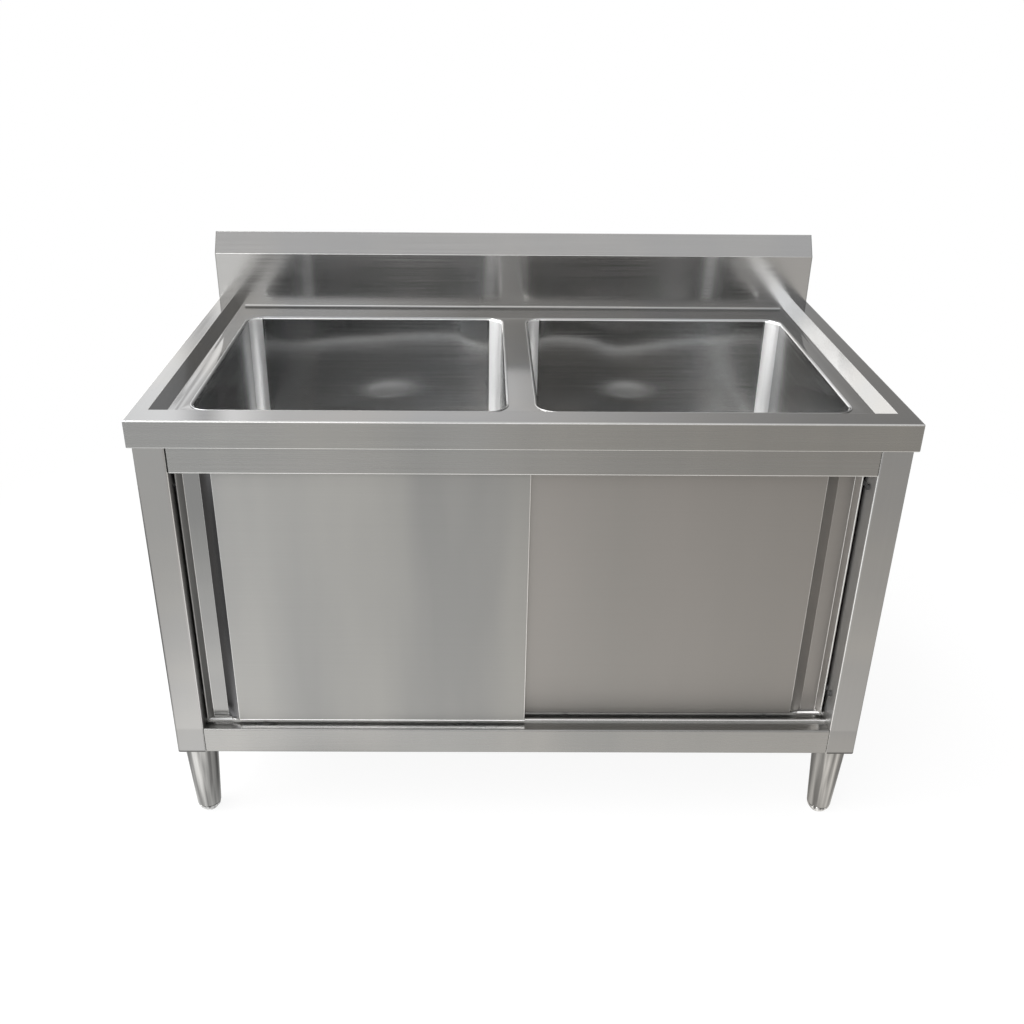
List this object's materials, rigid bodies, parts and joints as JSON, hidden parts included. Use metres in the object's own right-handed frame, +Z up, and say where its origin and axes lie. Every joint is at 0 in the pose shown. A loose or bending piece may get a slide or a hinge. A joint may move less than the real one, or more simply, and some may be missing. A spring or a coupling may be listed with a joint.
{
  "type": "kitchen sink unit",
  "caption": "Free-standing stainless steel double-bowl sink cabinet with a raised splashback, sliding doors, a bottom shelf and adjustable feet.",
  "frame": {"origin": "on the floor, at the middle of the footprint", "axes": "+X to the right along the front, +Y to the wall behind, +Z up; the doors face -Y"},
  "size_m": [1.2, 0.7, 0.904],
  "materials": {
    "satin_top": "fine satin brush",
    "satin_bowl": "fine satin brush",
    "satin_frame": "fine satin brush",
    "inner_sheet": "mill finish",
    "satin_door": "upright satin brush",
    "door_fittings": "bright plated",
    "polished_steel": "polished",
    "white_plastic": "smooth moulded",
    "grey_plastic": "smooth moulded",
    "nylon": "smooth moulded",
    "black_rubber": "matt"
  },
  "bodies": {
    "frame": {"worktop": "satin_top", "splashback": "satin_top", "splash_end_caps": "satin_top", "left_bowl": "satin_bowl", "right_bowl": "satin_bowl", "front_left_post": "satin_frame", "front_right_post": "satin_frame", "rear_left_post": "satin_frame", "rear_right_post": "satin_frame", "top_rail": "satin_frame", "bottom_shelf": "satin_frame", "left_side_panel": "satin_frame", "right_side_panel": "satin_frame", "back_panel": "satin_frame", "front_left_leg": "satin_frame", "front_right_leg": "satin_frame", "rear_left_leg": "satin_frame", "rear_right_leg": "satin_frame", "rear_top_rail": "inner_sheet", "side_top_rails": "inner_sheet", "divider_stiffener": "inner_sheet", "shelf_stiffener": "inner_sheet", "upper_guide": "inner_sheet", "door_track": "inner_sheet", "foot_plates": "inner_sheet", "leg_bolts": "door_fittings", "left_drain": "polished_steel", "right_drain": "polished_steel", "waste_manifold": "white_plastic", "p_trap": "white_plastic", "waste_outlet": "white_plastic", "drain_locknuts": "grey_plastic", "slip_nuts": "grey_plastic", "drain_gaskets": "black_rubber", "door_buffers": "black_rubber"},
    "left_door": {"left_door_skin": "satin_door", "left_door_inner": "satin_door", "left_door_carrier": "door_fittings", "left_door_axles": "door_fittings", "left_door_top_guides": "nylon"},
    "right_door": {"right_door_skin": "satin_door", "right_door_inner": "satin_door", "right_door_carrier": "door_fittings", "right_door_axles": "door_fittings", "right_door_top_guides": "nylon"},
    "left_door_outer_roller": {"left_door_outer_roller": "nylon"},
    "left_door_inner_roller": {"left_door_inner_roller": "nylon"},
    "right_door_outer_roller": {"right_door_outer_roller": "nylon"},
    "right_door_inner_roller": {"right_door_inner_roller": "nylon"},
    "left_basket": {"left_basket": "polished_steel"},
    "right_basket": {"right_basket": "polished_steel"},
    "front_left_foot": {"front_left_foot": "polished_steel"},
    "front_right_foot": {"front_right_foot": "polished_steel"},
    "rear_left_foot": {"rear_left_foot": "polished_steel"},
    "rear_right_foot": {"rear_right_foot": "polished_steel"}
  },
  "joints": [
    {"name": "left_door_slide", "type": "slide", "parent": "frame", "child": "left_door", "axis": [1, 0, 0], "range_m": [0, 0.525]},
    {"name": "right_door_slide", "type": "slide", "parent": "frame", "child": "right_door", "axis": [1, 0, 0], "range_m": [-0.525, 0]},
    {"name": "left_door_outer_roller_turn", "type": "hinge", "parent": "left_door", "child": "left_door_outer_roller", "pos_m": [-0.439, -0.3195, 0.217], "axis": [0, 1, 0], "continuous": true},
    {"name": "left_door_inner_roller_turn", "type": "hinge", "parent": "left_door", "child": "left_door_inner_roller", "pos_m": [-0.0865, -0.3195, 0.217], "axis": [0, 1, 0], "continuous": true},
    {"name": "right_door_outer_roller_turn", "type": "hinge", "parent": "right_door", "child": "right_door_outer_roller", "pos_m": [0.439, -0.2955, 0.217], "axis": [0, 1, 0], "continuous": true},
    {"name": "right_door_inner_roller_turn", "type": "hinge", "parent": "right_door", "child": "right_door_inner_roller", "pos_m": [0.0865, -0.2955, 0.217], "axis": [0, 1, 0], "continuous": true},
    {"name": "left_basket_lift", "type": "slide", "parent": "frame", "child": "left_basket", "axis": [0, 0, 1], "range_m": [0, 0.3]},
    {"name": "right_basket_lift", "type": "slide", "parent": "frame", "child": "right_basket", "axis": [0, 0, 1], "range_m": [0, 0.3]},
    {"name": "front_left_foot_screw", "type": "slide", "parent": "frame", "child": "front_left_foot", "axis": [0, 0, -1], "range_m": [0, 0.025]},
    {"name": "front_right_foot_screw", "type": "slide", "parent": "frame", "child": "front_right_foot", "axis": [0, 0, -1], "range_m": [0, 0.025]},
    {"name": "rear_left_foot_screw", "type": "slide", "parent": "frame", "child": "rear_left_foot", "axis": [0, 0, -1], "range_m": [0, 0.025]},
    {"name": "rear_right_foot_screw", "type": "slide", "parent": "frame", "child": "rear_right_foot", "axis": [0, 0, -1], "range_m": [0, 0.025]}
  ],
  "couplings": [
    {"joint": "left_door_outer_roller_turn", "follows": "left_door_slide", "rad_per_m": 84.034},
    {"joint": "left_door_inner_roller_turn", "follows": "left_door_slide", "rad_per_m": 84.034},
    {"joint": "right_door_outer_roller_turn", "follows": "right_door_slide", "rad_per_m": 84.034},
    {"joint": "right_door_inner_roller_turn", "follows": "right_door_slide", "rad_per_m": 84.034}
  ]
}
